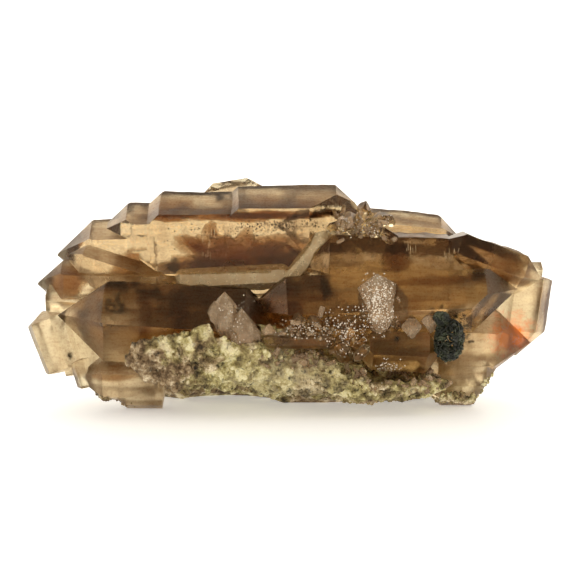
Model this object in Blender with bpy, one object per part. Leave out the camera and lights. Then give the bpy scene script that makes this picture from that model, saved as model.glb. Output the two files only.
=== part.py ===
"""A cluster of smoky quartz crystals lying side by side on a crust of matrix rock, with a tuft of chlorite.

Metres, +Z up. +X runs along the crystals, the front faces -Y, and the origin is under the middle of the piece.
A crystal is a six-sided prism whose two ends are each cut by the six sloping faces of a quartz point.
"""

import math
import random

import bmesh
import bpy
from mathutils import Matrix, Vector, noise

# Driving dimensions
LENGTH = 0.130
GAP = 0.0003  # between the crystals, the rock and the chlorite
POINT = 51.8  # degrees from the cross-section to a point's sloping face
BROKEN = 12  # the same on a broken end, which is nearly square
FLOOR_BLOCK = 0.02
FINEST = 1e-6

# How far the six sloping faces of a point each stand back from its tip: front, upper front, upper back, back,
# lower back and lower front. The further back a face stands, the larger it grew.
EVEN = (0.0004, 0.0, 0.0007, 0.0002, 0.0009, 0.0005)
TIP_UP = (0.004, 0.0, 0.0008, 0.003, 0.008, 0.007)
# On a crystal rolled by 30 degrees: lower front, upper front, top, upper back, lower back and bottom.
ROLLED_TIP_UP = (0.005, 0.001, 0.0, 0.0015, 0.006, 0.008)


def new_collection(name):
    collection = bpy.data.collections.new(name)
    bpy.context.scene.collection.children.link(collection)
    return collection


def new_material(name, colour, roughness):
    material = bpy.data.materials.new(name)
    material.use_nodes = True
    surface = material.node_tree.nodes["Principled BSDF"]
    surface.inputs["Base Color"].default_value = (*colour, 1)
    surface.inputs["Roughness"].default_value = roughness
    surface.inputs["Metallic"].default_value = 0
    return material


def new_object(name, bm, collection, material=None):
    mesh = bpy.data.meshes.new(name)
    bm.to_mesh(mesh)
    bm.free()
    piece = bpy.data.objects.new(name, mesh)
    collection.objects.link(piece)
    if material:
        mesh.materials.append(material)
    return piece


def cut_off(bm, point, normal):
    """Cuts off what lies beyond a plane, and closes the cut with one flat face."""
    everything = bm.verts[:] + bm.edges[:] + bm.faces[:]
    cut = bmesh.ops.bisect_plane(
        bm, geom=everything, dist=FINEST, plane_co=point, plane_no=normal, clear_outer=True
    )
    rim = [item for item in cut["geom_cut"] if isinstance(item, bmesh.types.BMEdge)]
    rim = [edge for edge in rim if edge.is_boundary]
    if rim:
        bmesh.ops.edgeloop_fill(bm, edges=rim)


def crystal_mesh(start, end, depth, height, roll, left, right, left_angle, right_angle, grow=0.0):
    """A prism from tip to tip: depth is across its front and back faces, and height is between its two ridges."""
    start, end = Vector(start), Vector(end)
    axis = (end - start).normalized()
    length = (end - start).length
    flat = depth / 2 + grow
    radius = flat / math.cos(math.radians(30))
    ridge = height / 2 + grow / math.cos(math.radians(30))
    bm = bmesh.new()
    bmesh.ops.create_cone(
        bm, cap_ends=True, segments=6, radius1=radius, radius2=radius, depth=length + 4 * radius
    )
    for vertex in bm.verts:
        on_ridge = abs(vertex.co.x) < FINEST
        vertex.co.y = math.copysign(ridge if on_ridge else ridge - radius / 2, vertex.co.y)
    for sign, backs, angle in ((-1, left, left_angle), (1, right, right_angle)):
        lean = math.radians(angle)
        for face, back in enumerate(backs):
            around = math.radians(60 * face)
            outward = Vector((-math.cos(around), math.sin(around), 0)) * math.sin(lean)
            outward.z = sign * math.cos(lean)
            reach = length / 2 - back + grow / math.cos(lean)
            cut_off(bm, Vector((0, 0, sign * reach)), outward)
    bmesh.ops.remove_doubles(bm, verts=bm.verts, dist=FINEST)
    level = Vector((0, 1, 0)) if abs(axis.y) < 0.8 else Vector((1, 0, 0))
    back_way = (level - axis * level.dot(axis)).normalized()
    up_way = axis.cross(back_way)
    turn = Matrix((back_way, up_way, axis)).transposed().to_4x4()
    place = Matrix.Translation((start + end) / 2) @ turn @ Matrix.Rotation(math.radians(roll), 4, "Z")
    bmesh.ops.transform(bm, matrix=place, verts=bm.verts)
    bmesh.ops.recalc_face_normals(bm, faces=bm.faces)
    return bm


def crystal(start, end, depth, height=0, roll=0, left=EVEN, right=EVEN, left_angle=POINT, right_angle=POINT):
    """One crystal's measurements. With no height it is an even hexagon."""
    height = height or depth / math.cos(math.radians(30))
    return dict(
        start=start,
        end=end,
        depth=depth,
        height=height,
        roll=roll,
        left=left,
        right=right,
        left_angle=left_angle,
        right_angle=right_angle,
    )


def top_row():
    """The long crystal at the top, which grew in three steps, and those beside its left end and behind it."""
    lowest_step = crystal((-0.0495, 0.003, 0.0412), (0.0100, 0.003, 0.0425), 0.0176, 0.0166)
    middle_step = crystal((-0.0462, 0.003, 0.0397), (0.0150, 0.003, 0.0400), 0.0180, 0.0254, right=TIP_UP)
    long_right = (0.009, 0.0, 0.0, 0.004, 0.012, 0.012)
    highest_step = crystal((-0.0272, 0.003, 0.0410), (0.0250, 0.003, 0.0412), 0.0186, 0.0260, right=long_right)
    left_of_it = crystal((-0.0592, 0.004, 0.0362), (-0.0250, 0.004, 0.0370), 0.0160, 0.0180)
    aslant_below = crystal((-0.0560, -0.003, 0.0370), (-0.0250, -0.003, 0.0272), 0.0080, roll=8)
    pale_behind = crystal((-0.0240, 0.013, 0.0500), (-0.0060, 0.013, 0.0530), 0.0065, roll=30)
    return [lowest_step, middle_step, highest_step, left_of_it, aslant_below, pale_behind]


def left_group():
    """The crystals that stick out at the left end."""
    point = crystal((-0.0634, -0.002, 0.0296), (-0.0250, -0.002, 0.0290), 0.0120, 0.0130)
    under_it = crystal((-0.0612, -0.003, 0.0262), (-0.0300, -0.003, 0.0240), 0.0085, roll=30, left_angle=BROKEN)
    leaning = crystal(
        (-0.0612, -0.006, 0.0240), (-0.0552, -0.007, 0.0080), 0.0092, roll=10, left_angle=30, right_angle=BROKEN
    )
    beside_it = crystal(
        (-0.0560, -0.003, 0.0260), (-0.0505, -0.004, 0.0070), 0.0100, roll=25, right_angle=BROKEN
    )
    narrow = crystal(
        (-0.0520, -0.014, 0.0128), (-0.0495, -0.014, 0.0045), 0.0040, left_angle=BROKEN, right_angle=BROKEN
    )
    return [point, under_it, leaning, beside_it, narrow]


def front_row():
    """The two large crystals along the front, tip to tip."""
    left = crystal((-0.0575, -0.009, 0.0228), (0.0010, -0.009, 0.0190), 0.0200, roll=30)
    right = crystal((-0.0122, -0.009, 0.0235), (0.0590, -0.009, 0.0262), 0.0182, roll=30, right=ROLLED_TIP_UP)
    return [left, right]


def right_group():
    """The large crystal behind the front row at the right, those around it, and the right end."""
    large = crystal((0.0010, -0.003, 0.0340), (0.0500, -0.003, 0.0325), 0.0185, roll=34, left_angle=42)
    sloping = crystal((0.0345, -0.006, 0.0407), (0.0624, -0.006, 0.0302), 0.0104, roll=36)
    pale_behind = crystal((-0.0050, 0.010, 0.0438), (0.0440, 0.010, 0.0393), 0.0120, 0.0130)
    small_block = crystal((0.0500, 0.002, 0.0328), (0.0632, 0.002, 0.0330), 0.0040, roll=30, right_angle=BROKEN)
    end_block = crystal((0.0555, -0.002, 0.0110), (0.0585, -0.002, 0.0334), 0.0118, right_angle=BROKEN)
    return [large, sloping, pale_behind, small_block, end_block]


def back_row():
    """The crystals behind, which the front hides: two above, tip to tip, and the others under and outside them."""
    upper_left = crystal((-0.0500, 0.016, 0.0250), (0.0200, 0.017, 0.0260), 0.0170, roll=12)
    upper_right = crystal((-0.0120, 0.018, 0.0280), (0.0550, 0.016, 0.0240), 0.0160, roll=-10)
    lower = crystal((-0.0450, 0.014, 0.0130), (0.0450, 0.016, 0.0120), 0.0180, roll=20)
    left_end = crystal((-0.0560, 0.010, 0.0200), (-0.0200, 0.014, 0.0300), 0.0120, roll=20)
    outside_left = crystal((-0.0200, 0.022, 0.0140), (0.0180, 0.024, 0.0170), 0.0100, roll=5)
    outside_right = crystal((0.0200, 0.022, 0.0180), (0.0480, 0.018, 0.0140), 0.0110, roll=25)
    return [upper_left, upper_right, lower, left_end, outside_left, outside_right]


def foot_group():
    """The blocky quartz along the foot, left and right, which the piece partly stands on."""
    left = crystal((-0.0530, -0.010, 0.0078), (-0.0310, -0.009, 0.0072), 0.0110, roll=15, right_angle=BROKEN)
    left_sole = crystal(
        (-0.0450, -0.010, 0.0038), (-0.0300, -0.010, 0.0036), 0.0075, roll=5, right_angle=BROKEN
    )
    right_top = crystal((0.0280, -0.008, 0.0170), (0.0590, -0.008, 0.0158), 0.0150, roll=10)
    right = crystal((0.0280, -0.008, 0.0110), (0.0515, -0.008, 0.0108), 0.0115, roll=25, right_angle=35)
    right_sole = crystal((0.0300, -0.006, 0.0053), (0.0490, -0.006, 0.0056), 0.0105, roll=5, right_angle=40)
    return [left, left_sole, right_top, right, right_sole]


def front_blocks():
    """The smaller crystals that stand out of the front of the two large ones, from left to right."""
    upright = crystal((-0.0160, -0.0185, 0.0150), (-0.0158, -0.0185, 0.0306), 0.0072, roll=12)
    leaning = crystal((-0.0110, -0.0190, 0.0140), (-0.0125, -0.0185, 0.0262), 0.0085, roll=20)
    lying = crystal((-0.0080, -0.0205, 0.0180), (0.0115, -0.0205, 0.0180), 0.0036)
    small_pale = crystal((-0.0055, -0.0200, 0.0175), (-0.0050, -0.0200, 0.0228), 0.0032)
    ledge = crystal(
        (0.0070, -0.0150, 0.0212), (0.0205, -0.0150, 0.0208), 0.0110, 0.0125, left_angle=BROKEN, right_angle=35
    )
    drusy = crystal((0.0215, -0.0155, 0.0170), (0.0205, -0.0155, 0.0342), 0.0098, roll=8, right_angle=35)
    dark_block = crystal(
        (0.0160, -0.0140, 0.0148), (0.0350, -0.0140, 0.0150), 0.0115, 0.0128, left_angle=BROKEN, right_angle=40
    )
    above_it = crystal((0.0290, -0.0170, 0.0170), (0.0285, -0.0165, 0.0248), 0.0058, roll=20)
    return [upright, leaning, lying, small_pale, ledge, drusy, dark_block, above_it]


def patch_of_druse(centre, size, count, across, seed):
    """Small crystals that stand out at all angles from a patch of a larger one."""
    chance = random.Random(seed)
    grown = []
    for _ in range(count):
        foot = Vector(middle + chance.uniform(-0.5, 0.5) * side for middle, side in zip(centre, size))
        way = Vector((chance.uniform(-1, 1), chance.uniform(-1.2, 0.0), chance.uniform(-0.3, 1.2))).normalized()
        thick = across * chance.uniform(0.7, 1.3)
        tip = foot + way * thick * chance.uniform(1.4, 2.2)
        grown.append(crystal(foot - way * thick * 1.6, tip, thick, roll=chance.uniform(0, 60)))
    return grown


def druse():
    """Patches between the two top crystals, with a clear point that stands up out of it, and on the front."""
    top = patch_of_druse((0.0180, -0.0050, 0.0435), (0.0130, 0.0050, 0.0040), 16, 0.0029, 3)
    clear_point = crystal((0.0178, -0.0030, 0.0410), (0.0180, -0.0030, 0.0503), 0.0036)
    front = patch_of_druse((0.0020, -0.0195, 0.0205), (0.0120, 0.0015, 0.0030), 10, 0.0026, 11)
    front_right = patch_of_druse((0.0140, -0.0200, 0.0160), (0.0060, 0.0015, 0.0050), 8, 0.0026, 13)
    return [*top, clear_point, *front, *front_right]


def all_crystals():
    large = top_row() + left_group() + front_row() + right_group() + back_row() + foot_group()
    return large + front_blocks() + druse()


def hide(piece):
    piece.hide_render = True
    piece.display_type = "WIRE"
    return piece


def crystal_objects(crystals, collection, grow):
    """Each crystal as a hidden object of its own, larger all round by the distance that its neighbours keep."""
    for number, values in enumerate(crystals):
        hide(new_object(f"crystal {number}", crystal_mesh(**values, grow=grow), collection))


def boolean(piece, operation, operand):
    """Joins or cuts with one object, or with every object of a collection."""
    step = piece.modifiers.new(operation.lower(), "BOOLEAN")
    step.operation = operation
    step.solver = "EXACT"
    if isinstance(operand, bpy.types.Collection):
        step.operand_type = "COLLECTION"
        step.collection = operand
    else:
        step.object = operand


def settled(piece):
    """Turns an object's modifiers into its mesh."""
    bpy.context.view_layer.update()
    graph = bpy.context.evaluated_depsgraph_get()
    mesh = bpy.data.meshes.new_from_object(piece.evaluated_get(graph))
    piece.modifiers.clear()
    piece.data = mesh
    return mesh


def keep_largest_body(mesh):
    """Drops the crumbs that a cut leaves, which are bodies that don't touch the main one."""
    bm = bmesh.new()
    bm.from_mesh(mesh)
    bmesh.ops.remove_doubles(bm, verts=bm.verts, dist=FINEST)
    left = set(bm.verts)
    bodies = []
    while left:
        front = [left.pop()]
        body = set(front)
        while front:
            vertex = front.pop()
            near = {edge.other_vert(vertex) for edge in vertex.link_edges} - body
            body |= near
            front.extend(near)
        left -= body
        bodies.append(body)
    bodies.sort(key=len)
    for body in bodies[:-1]:
        bmesh.ops.delete(bm, geom=list(body), context="VERTS")
    bm.to_mesh(mesh)
    bm.free()


def floor_cutter(collection):
    """A block under the surface that the piece rests on."""
    bm = bmesh.new()
    bmesh.ops.create_cube(bm, size=1)
    bmesh.ops.scale(bm, vec=(2 * LENGTH, LENGTH, FLOOR_BLOCK), verts=bm.verts)
    bmesh.ops.translate(bm, vec=(0, 0, -FLOOR_BLOCK / 2), verts=bm.verts)
    return hide(new_object("floor", bm, collection))


def quartz_cluster(collection, cutters, floor, material):
    """Every crystal joined into one solid, and cut level where it rests."""
    first, *rest = all_crystals()
    quartz = new_object("quartz_cluster", crystal_mesh(**first), collection, material)
    others = bpy.data.collections.new("crystals")
    cutters.children.link(others)
    crystal_objects(rest, others, 0)
    boolean(quartz, "UNION", others)
    boolean(quartz, "DIFFERENCE", floor)
    keep_largest_body(settled(quartz))
    return quartz


def lump(name, centre, radii, roughness, seed, collection, finer=4):
    """A rounded lump of rock with knobs, creases and pits."""
    broad_swells = 0.012
    knob_spacing = 0.0065
    knob_share = 1.3
    bm = bmesh.new()
    bmesh.ops.create_icosphere(bm, subdivisions=finer, radius=1)
    shift = Vector((seed * 3.1, seed * 1.7, 0))
    for vertex in bm.verts:
        place = Vector(side * radius for side, radius in zip(vertex.co, radii))
        swell = noise.fractal(place / broad_swells + shift, 0.9, 2.0, 3)
        swell += knob_share * (0.5 - noise.voronoi(place / knob_spacing + shift)[0][0])
        vertex.co = place + vertex.co.normalized() * roughness * swell + Vector(centre)
    return new_object(name, bm, collection)


def matrix(collection, cutters, crystals_cut, chlorite_cut, floor, material):
    """The crust of rock under and behind the crystals, cut round each of them, with a low arch at the front."""
    rock = lump("matrix", (0.004, 0.0105, 0.0060), (0.042, 0.0165, 0.0115), 0.0020, 1, collection)
    rock.data.materials.append(material)
    humps = bpy.data.collections.new("rock humps")
    cutters.children.link(humps)
    hide(lump("front left hump", (-0.0190, -0.0160, 0.0142), (0.0205, 0.0078, 0.0082), 0.0021, 2, humps))
    hide(lump("front right toe", (0.0130, -0.0140, 0.0100), (0.0260, 0.0088, 0.0062), 0.0020, 3, humps))
    hide(lump("back hump", (-0.0040, 0.0190, 0.0110), (0.0400, 0.0085, 0.0100), 0.0018, 4, humps))
    hide(lump("middle hump", (0.0000, -0.0040, 0.0095), (0.0380, 0.0130, 0.0070), 0.0014, 8, humps))
    boolean(rock, "UNION", humps)
    arch = hide(lump("arch", (-0.0150, -0.0040, -0.0080), (0.0190, 0.0180, 0.0115), 0.0008, 5, cutters, 3))
    for cutter in (arch, floor, chlorite_cut, crystals_cut):
        boolean(rock, "DIFFERENCE", cutter)
    keep_largest_body(settled(rock))
    return rock


def chlorite(collection, cutters, crystals_cut, material):
    """The tuft of green-black chlorite between two crystals, and the pocket that it leaves in the rock."""
    low, low_radii = (0.0375, -0.0175, 0.0178), (0.0033, 0.0030, 0.0045)
    high, high_radii = (0.0356, -0.0172, 0.0235), (0.0022, 0.0026, 0.0020)
    pocket_radii = [side + 2 * GAP for side in low_radii]
    tuft = lump("chlorite", low, low_radii, 0.0006, 6, collection, 3)
    tuft.data.materials.append(material)
    boolean(tuft, "UNION", hide(lump("chlorite top", high, high_radii, 0.0005, 7, cutters, 3)))
    boolean(tuft, "DIFFERENCE", crystals_cut)
    keep_largest_body(settled(tuft))
    pocket = hide(lump("chlorite pocket", low, pocket_radii, 0.0006, 6, cutters, 3))
    return tuft, pocket


def stand_over_origin(pieces):
    """Moves every piece so that the origin is under the middle of the whole."""
    corners = [piece.matrix_world @ vertex.co for piece in pieces for vertex in piece.data.vertices]
    low = Vector(min(corner[side] for corner in corners) for side in range(3))
    high = Vector(max(corner[side] for corner in corners) for side in range(3))
    under_middle = Vector(((low.x + high.x) / 2, (low.y + high.y) / 2, low.z))
    for piece in pieces:
        piece.data.transform(Matrix.Translation(-under_middle))


def clear_scene():
    for piece in list(bpy.data.objects):
        bpy.data.objects.remove(piece, do_unlink=True)


def main():
    clear_scene()
    pieces = new_collection("smoky quartz")
    cutters = new_collection("cutters")
    smoky = new_material("smoky quartz", (0.34, 0.24, 0.17), 0.08)
    rocky = new_material("matrix rock", (0.52, 0.50, 0.36), 0.9)
    green = new_material("chlorite", (0.04, 0.06, 0.04), 0.7)
    floor = floor_cutter(cutters)
    quartz = quartz_cluster(pieces, cutters, floor, smoky)
    crystals_cut = bpy.data.collections.new("crystals with their gap")
    cutters.children.link(crystals_cut)
    crystal_objects(all_crystals(), crystals_cut, GAP)
    tuft, pocket = chlorite(pieces, cutters, crystals_cut, green)
    rock = matrix(pieces, cutters, crystals_cut, pocket, floor, rocky)
    stand_over_origin([quartz, rock, tuft])


main()
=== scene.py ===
"""Smoky quartz crystals side by side on a crust of rock, with a tuft of chlorite, in a bright studio.

Each crystal is grown as its own prism with growth steps and worn edges, and all of them are joined into one
clear solid. Metres, +Z up, +X along the crystals, front towards -Y.
"""

import math
import random

import bpy
from mathutils import Matrix, Vector, noise


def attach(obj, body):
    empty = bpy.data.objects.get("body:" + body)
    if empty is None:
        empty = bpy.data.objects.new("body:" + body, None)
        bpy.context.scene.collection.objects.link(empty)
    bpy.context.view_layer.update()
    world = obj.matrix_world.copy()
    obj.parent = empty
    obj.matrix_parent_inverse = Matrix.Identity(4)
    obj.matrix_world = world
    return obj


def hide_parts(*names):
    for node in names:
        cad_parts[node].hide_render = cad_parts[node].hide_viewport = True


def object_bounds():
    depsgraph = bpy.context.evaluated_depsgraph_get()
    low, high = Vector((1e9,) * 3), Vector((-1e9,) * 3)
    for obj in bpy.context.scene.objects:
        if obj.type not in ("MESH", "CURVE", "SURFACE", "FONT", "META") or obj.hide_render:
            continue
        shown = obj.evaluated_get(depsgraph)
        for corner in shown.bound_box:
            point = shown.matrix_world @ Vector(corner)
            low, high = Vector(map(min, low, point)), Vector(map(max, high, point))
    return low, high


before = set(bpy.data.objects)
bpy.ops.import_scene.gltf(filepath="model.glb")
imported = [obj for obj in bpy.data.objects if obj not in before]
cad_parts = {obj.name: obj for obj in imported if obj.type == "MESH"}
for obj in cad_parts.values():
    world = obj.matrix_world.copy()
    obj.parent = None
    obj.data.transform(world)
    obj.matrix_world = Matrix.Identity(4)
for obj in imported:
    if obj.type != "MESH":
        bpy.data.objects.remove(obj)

cad_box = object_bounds()

# The place of the crystals' own measurements in the frame
TO_FRAME = Vector((-0.000067, -0.002212, 0.0))
FLOOR_BLOCK = 0.02
FINEST = 1e-6

POINT = 51.8  # degrees from the cross-section to a point's sloping face
BROKEN = 12  # the same on a broken end, which is nearly square
STEP_SPACING = 0.0015
STEP_DEPTH = 0.00022
WORN_EDGE = 0.00010
UNDER_SURFACE = 0.0002

# How far the six sloping faces of a point each stand back from its tip: front, upper front, upper back, back,
# lower back and lower front. The further back a face stands, the larger it grew.
EVEN = (0.0004, 0.0, 0.0007, 0.0002, 0.0009, 0.0005)
TIP_UP = (0.004, 0.0, 0.0008, 0.003, 0.008, 0.007)
# On a crystal rolled by 30 degrees: lower front, upper front, top, upper back, lower back and bottom.
ROLLED_TIP_UP = (0.005, 0.001, 0.0, 0.0015, 0.006, 0.008)


def rise(value, low, high):
    """0 up to low, 1 from high on, and a straight rise between them."""
    return min(1.0, max(0.0, (value - low) / (high - low)))


def select_only(piece):
    bpy.ops.object.select_all(action="DESELECT")
    piece.select_set(True)
    bpy.context.view_layer.objects.active = piece


def apply_place(piece):
    """Puts a piece's place into its mesh, so that its object sits at the origin."""
    select_only(piece)
    bpy.ops.object.transform_apply(location=True, rotation=True, scale=True)


def crystal(
    start,
    end,
    depth,
    height=0,
    roll=0,
    left=EVEN,
    right=EVEN,
    left_angle=POINT,
    right_angle=POINT,
    knobbly=False,
):
    """One crystal's measurements. With no height it is an even hexagon."""
    height = height or depth / math.cos(math.radians(30))
    return dict(
        start=Vector(start),
        end=Vector(end),
        depth=depth,
        height=height,
        roll=roll,
        left=left,
        right=right,
        left_angle=left_angle,
        right_angle=right_angle,
        knobbly=knobbly,
    )


def top_row():
    """The long crystal at the top, which grew in three steps, and those beside its left end and behind it."""
    lowest_step = crystal((-0.0495, 0.003, 0.0412), (0.0100, 0.003, 0.0425), 0.0176, 0.0166)
    middle_step = crystal((-0.0462, 0.003, 0.0397), (0.0150, 0.003, 0.0400), 0.0180, 0.0254, right=TIP_UP)
    long_right = (0.009, 0.0, 0.0, 0.004, 0.012, 0.012)
    highest_step = crystal(
        (-0.0272, 0.003, 0.0410), (0.0250, 0.003, 0.0412), 0.0186, 0.0260, right=long_right
    )
    left_of_it = crystal((-0.0592, 0.004, 0.0362), (-0.0250, 0.004, 0.0370), 0.0160, 0.0180)
    aslant_below = crystal((-0.0560, -0.003, 0.0370), (-0.0250, -0.003, 0.0272), 0.0080, roll=8)
    pale_behind = crystal((-0.0240, 0.0100, 0.0501), (-0.0060, 0.0104, 0.0531), 0.0065, roll=30)
    return [lowest_step, middle_step, highest_step, left_of_it, aslant_below, pale_behind]


def left_group():
    """The crystals that stick out at the left end."""
    point = crystal((-0.0634, -0.002, 0.0296), (-0.0250, -0.002, 0.0290), 0.0120, 0.0130)
    under_it = crystal(
        (-0.0612, -0.003, 0.0262), (-0.0300, -0.003, 0.0240), 0.0085, roll=30, left_angle=BROKEN
    )
    leaning = crystal(
        (-0.0612, -0.006, 0.0240),
        (-0.0552, -0.007, 0.0080),
        0.0092,
        roll=10,
        left_angle=30,
        right_angle=BROKEN,
    )
    beside_it = crystal(
        (-0.0560, -0.003, 0.0260), (-0.0505, -0.004, 0.0070), 0.0100, roll=25, right_angle=BROKEN
    )
    narrow = crystal(
        (-0.0520, -0.010, 0.0128), (-0.0495, -0.010, 0.0045), 0.0044, left_angle=BROKEN, right_angle=BROKEN
    )
    return [point, under_it, leaning, beside_it, narrow]


def front_row():
    """The two large crystals along the front, tip to tip."""
    left = crystal((-0.0575, -0.009, 0.0228), (0.0010, -0.009, 0.0190), 0.0200, roll=30)
    right = crystal((-0.0122, -0.009, 0.0235), (0.0590, -0.009, 0.0262), 0.0182, roll=30, right=ROLLED_TIP_UP)
    return [left, right]


def right_group():
    """The large crystal behind the front row at the right, those around it, and the right end."""
    large = crystal((0.0010, -0.003, 0.0340), (0.0500, -0.003, 0.0325), 0.0185, roll=34, left_angle=42)
    sloping = crystal((0.0345, -0.006, 0.0407), (0.0624, -0.006, 0.0302), 0.0104, roll=36)
    pale_behind = crystal((-0.0050, 0.010, 0.0438), (0.0440, 0.010, 0.0393), 0.0120, 0.0130)
    small_block = crystal(
        (0.0500, 0.002, 0.0328), (0.0632, 0.002, 0.0330), 0.0040, roll=30, right_angle=BROKEN
    )
    end_block = crystal((0.0555, -0.002, 0.0110), (0.0585, -0.002, 0.0334), 0.0118, right_angle=BROKEN)
    return [large, sloping, pale_behind, small_block, end_block]


def back_row():
    """The crystals behind: two above, tip to tip, and the others under and outside them."""
    upper_left = crystal((-0.0500, 0.016, 0.0250), (0.0200, 0.017, 0.0260), 0.0170, roll=12)
    upper_right = crystal((-0.0120, 0.018, 0.0280), (0.0550, 0.016, 0.0240), 0.0160, roll=-10)
    lower = crystal((-0.0450, 0.014, 0.0130), (0.0450, 0.016, 0.0120), 0.0180, roll=20)
    left_end = crystal((-0.0560, 0.010, 0.0200), (-0.0200, 0.014, 0.0300), 0.0120, roll=20)
    outside_left = crystal((-0.0200, 0.022, 0.0140), (0.0180, 0.024, 0.0170), 0.0100, roll=5)
    outside_right = crystal((0.0200, 0.022, 0.0180), (0.0480, 0.018, 0.0140), 0.0110, roll=25)
    return [upper_left, upper_right, lower, left_end, outside_left, outside_right]


def foot_group():
    """The blocky quartz along the foot, left and right, which the piece partly stands on."""
    left = crystal((-0.0530, -0.010, 0.0078), (-0.0310, -0.009, 0.0072), 0.0110, roll=15, right_angle=BROKEN)
    left_sole = crystal(
        (-0.0450, -0.010, 0.0038), (-0.0300, -0.010, 0.0036), 0.0075, roll=5, right_angle=BROKEN
    )
    right_top = crystal((0.0280, -0.008, 0.0170), (0.0590, -0.008, 0.0158), 0.0150, roll=10)
    right = crystal((0.0280, -0.008, 0.0110), (0.0515, -0.008, 0.0108), 0.0115, roll=25, right_angle=35)
    right_sole = crystal((0.0300, -0.006, 0.0053), (0.0490, -0.006, 0.0056), 0.0105, roll=5, right_angle=40)
    return [left, left_sole, right_top, right, right_sole]


def milky_blocks():
    """The smaller cloudy crystals that stand out of the front of the two large ones, from left to right."""
    grown = [
        crystal((-0.0160, -0.0185, 0.0170), (-0.0158, -0.0185, 0.0302), 0.0062, roll=12),
        crystal((-0.0172, -0.0180, 0.0200), (-0.0185, -0.0185, 0.0280), 0.0048, roll=40),
        crystal((-0.0120, -0.0190, 0.0130), (-0.0118, -0.0185, 0.0262), 0.0078, roll=20),
        crystal((-0.0085, -0.0190, 0.0140), (-0.0092, -0.0190, 0.0225), 0.0052, roll=5),
        crystal((-0.0055, -0.0200, 0.0175), (-0.0050, -0.0200, 0.0228), 0.0032),
        crystal((0.0215, -0.0155, 0.0170), (0.0205, -0.0155, 0.0342), 0.0098, roll=8, right_angle=35),
        crystal((0.0250, -0.0150, 0.0190), (0.0256, -0.0150, 0.0310), 0.0062, roll=35),
        crystal((0.0290, -0.0170, 0.0170), (0.0285, -0.0165, 0.0248), 0.0058, roll=20),
        crystal((0.0332, -0.0165, 0.0185), (0.0336, -0.0165, 0.0262), 0.0056, roll=30),
    ]
    for values in grown:
        values["knobbly"] = True
    return grown


def frosted_strips():
    """Two narrow frosted crystals: one under the long top crystal, and one aslant at its right end."""
    level = crystal((-0.0310, -0.0032, 0.0303), (0.0020, -0.0032, 0.0320), 0.0054, 0.0064, roll=-6)
    aslant = crystal((-0.0020, -0.0050, 0.0290), (0.0096, -0.0044, 0.0436), 0.0044, 0.0048, roll=10)
    return [level, aslant]


def clear_blocks():
    """The smaller clear crystals that lie between the cloudy ones."""
    lying = crystal((-0.0080, -0.0205, 0.0180), (0.0115, -0.0205, 0.0180), 0.0036)
    ledge = crystal(
        (0.0050, -0.0150, 0.0222),
        (0.0205, -0.0146, 0.0204),
        0.0106,
        0.0116,
        roll=36,
        left_angle=45,
        right_angle=35,
    )
    dark_block = crystal(
        (0.0140, -0.0140, 0.0156),
        (0.0370, -0.0136, 0.0146),
        0.0112,
        0.0118,
        roll=34,
        left_angle=45,
        right_angle=40,
    )
    return [lying, ledge, dark_block]


def patch_of_druse(centre, size, count, across, seed):
    """Small crystals that stand out at all angles from a patch of a larger one."""
    chance = random.Random(seed)
    grown = []
    for _ in range(count):
        foot = Vector(middle + chance.uniform(-0.5, 0.5) * side for middle, side in zip(centre, size))
        way = Vector((chance.uniform(-1, 1), chance.uniform(-1.2, 0.0), chance.uniform(-0.3, 1.2)))
        way.normalize()
        thick = across * chance.uniform(0.7, 1.3)
        tip = foot + way * thick * chance.uniform(1.4, 2.2)
        grown.append(crystal(foot - way * thick * 1.6, tip, thick, roll=chance.uniform(0, 60)))
    return grown


def druse():
    """Patches between the two top crystals, with a clear point that stands up out of it, and on the front."""
    top = patch_of_druse((0.0180, -0.0050, 0.0435), (0.0130, 0.0050, 0.0040), 16, 0.0029, 3)
    clear_point = crystal((0.0178, -0.0030, 0.0410), (0.0180, -0.0030, 0.0503), 0.0036)
    front = patch_of_druse((0.0020, -0.0195, 0.0205), (0.0120, 0.0015, 0.0030), 10, 0.0026, 11)
    front_right = patch_of_druse((0.0140, -0.0188, 0.0165), (0.0060, 0.0015, 0.0045), 8, 0.0026, 13)
    return [*top, clear_point, *front, *front_right]


def clear_crystals():
    large = top_row() + left_group() + front_row() + right_group() + back_row() + foot_group()
    return large + clear_blocks() + druse()


def select_edges(piece, wanted):
    """Selects, in edit mode, the edges that a test of their two ends picks out."""
    bpy.ops.mesh.select_mode(type="EDGE")
    bpy.ops.mesh.select_all(action="DESELECT")
    bpy.ops.object.mode_set(mode="OBJECT")
    points = piece.data.vertices
    for edge in piece.data.edges:
        edge.select = wanted(*(points[end].co for end in edge.vertices))
    bpy.ops.object.mode_set(mode="EDIT")


def growth_steps(piece, seed, depth, knobbly):
    """Draws each ring of a prism in a little, unevenly, so that its faces are banded.

    A clear crystal is knobbly on its back only, and a knobbly one all round.
    """
    along, across, slow = 0.0022, 0.008, 0.013
    knobs, knob_height = (0.0022, 0.0009) if knobbly else (0.0035, 0.0011)
    knobs_begin = 0.003
    for vertex in piece.data.vertices:
        place = Vector((vertex.co.x / across, vertex.co.y / across, vertex.co.z / along + seed * 2.7))
        inwards = 0.5 + 0.5 * noise.noise(place) + 0.35 * noise.noise(place * 3.1)
        inwards *= depth
        inwards += 1.8 * depth * (0.5 + noise.noise(vertex.co / slow + Vector((0, seed * 1.3, 0))))
        how_far_back = 1 if knobbly else rise(vertex.co.x, 0, knobs_begin)
        if how_far_back > 0:
            knob = noise.voronoi(vertex.co / knobs + Vector((seed, 0, 0)))[0][0]
            inwards += knob_height * knob * how_far_back
        vertex.co.xy *= 1 - inwards / vertex.co.xy.length


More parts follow.
